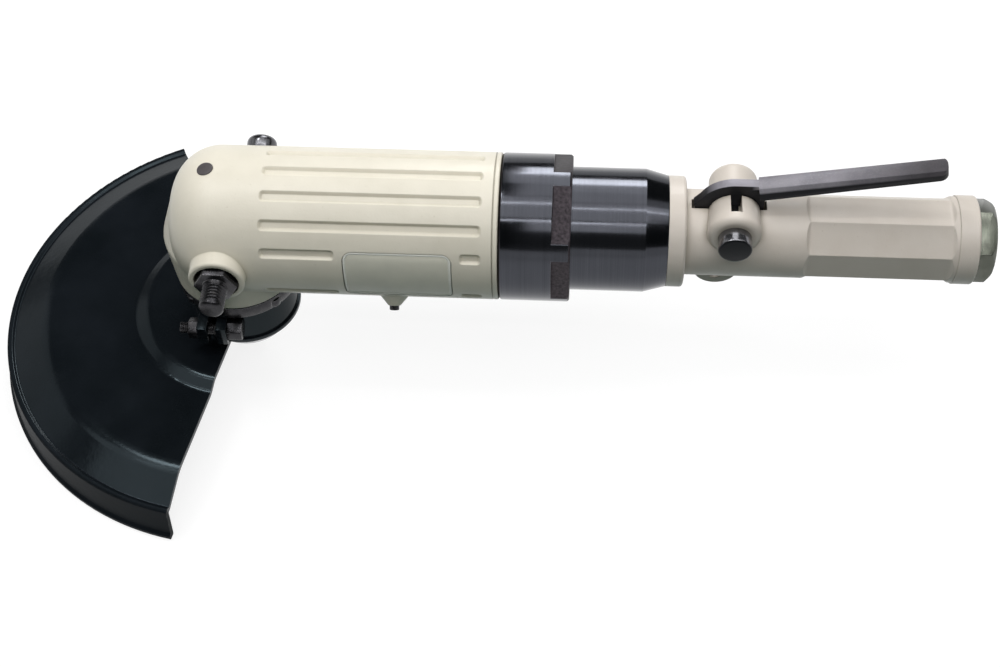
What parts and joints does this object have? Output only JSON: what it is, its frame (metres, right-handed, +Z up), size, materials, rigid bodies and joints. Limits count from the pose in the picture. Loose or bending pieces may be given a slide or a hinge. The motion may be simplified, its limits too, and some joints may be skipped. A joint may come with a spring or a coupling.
{
  "type": "air angle grinder",
  "caption": "Compressed-air angle grinder: ribbed cast barrel with right-angle gear head, stepped wheel guard on a split collar, lever throttle and eight-sided grip.",
  "frame": {"origin": "where the spindle axis meets the wheel seat", "axes": "+X along the body from the head to the air inlet, +Z up the spindle away from the wheel, -Y the side of the handle stud"},
  "size_m": [0.418, 0.2052, 0.1244],
  "materials": {
    "cream_paint": "semi-gloss cream paint on a casting",
    "nameplate": "blank satin plate",
    "blued_steel": "turned and blackened",
    "guard_black": "gloss black enamel",
    "black_oxide": "black oxide",
    "lever_steel": "dull grey phosphate",
    "zinc_steel": "plain machined",
    "bare_steel": "ground",
    "cast_iron": "honed bore",
    "brass": "machined",
    "vane": "moulded laminate",
    "seal": "moulded"
  },
  "bodies": {
    "housing": {"bearing_retainer": "bare_steel", "clamp_nut": "blued_steel", "exhaust_sleeve": "blued_steel", "front_end_plate": "bare_steel", "front_housing": "cream_paint", "front_rotor_bearing": "bare_steel", "grease_plug": "black_oxide", "handle_seal": "seal", "head_plug": "black_oxide", "inlet_bush": "zinc_steel", "inlet_screen": "brass", "lock_screw": "black_oxide", "lower_spindle_bearing": "bare_steel", "motor_cylinder": "cast_iron", "motor_spacer": "bare_steel", "nameplate": "nameplate", "neck_screws": "black_oxide", "rear_end_plate": "bare_steel", "rear_rotor_bearing": "bare_steel", "side_handle_stud": "black_oxide", "spindle_neck": "black_oxide", "spindle_seal": "seal", "spring_retainer": "bare_steel", "throttle_handle": "cream_paint", "throttle_pin": "black_oxide", "upper_spindle_bearing": "bare_steel", "valve_seat": "brass", "valve_spring": "bare_steel"},
    "spindle": {"output_spindle": "bare_steel", "inner_flange": "bare_steel", "bevel_gear": "bare_steel", "gear_key": "bare_steel", "gear_nut": "bare_steel", "gear_spacer": "bare_steel"},
    "rotor": {"rotor": "bare_steel", "vanes": "vane", "bevel_pinion": "bare_steel", "pinion_key": "bare_steel"},
    "lever": {"throttle_lever": "lever_steel"},
    "plunger": {"valve_plunger": "bare_steel"},
    "valve": {"tilt_valve": "bare_steel"},
    "guard": {"guard_plate": "guard_black", "guard_collar": "guard_black", "guard_clamp_bolt": "black_oxide", "guard_clamp_nut": "black_oxide"}
  },
  "joints": [
    {"name": "spindle_spin", "type": "hinge", "parent": "housing", "child": "spindle", "pos_m": [0, 0, 0], "axis": [0, 0, 1], "continuous": true},
    {"name": "rotor_spin", "type": "hinge", "parent": "housing", "child": "rotor", "pos_m": [0, 0, 0.063], "axis": [1, 0, 0], "continuous": true},
    {"name": "lever_squeeze", "type": "hinge", "parent": "housing", "child": "lever", "pos_m": [0.2055, 0, 0.0785], "axis": [0, 1, 0], "range_deg": [0, 14], "stiffness_Nm_per_rad": 0.5, "springref_deg": -14.32},
    {"name": "plunger_push", "type": "slide", "parent": "housing", "child": "plunger", "axis": [0, 0, -1], "range_m": [0, 0.0022]},
    {"name": "valve_tilt", "type": "hinge", "parent": "housing", "child": "valve", "pos_m": [0.2271, 0, 0.0662], "axis": [0, -1, 0], "range_deg": [0, 10.1], "deforming": ["valve_spring"]},
    {"name": "guard_turn", "type": "hinge", "parent": "housing", "child": "guard", "pos_m": [0, 0, 0.017], "axis": [0, 0, 1], "range_deg": [-180, 180]}
  ],
  "couplings": [
    {"joint": "rotor_spin", "follows": "spindle_spin", "ratio": 2.1538},
    {"joint": "plunger_push", "follows": "lever_squeeze", "m_per_rad": 0.008909},
    {"joint": "valve_tilt", "follows": "lever_squeeze", "ratio": 0.71429}
  ]
}
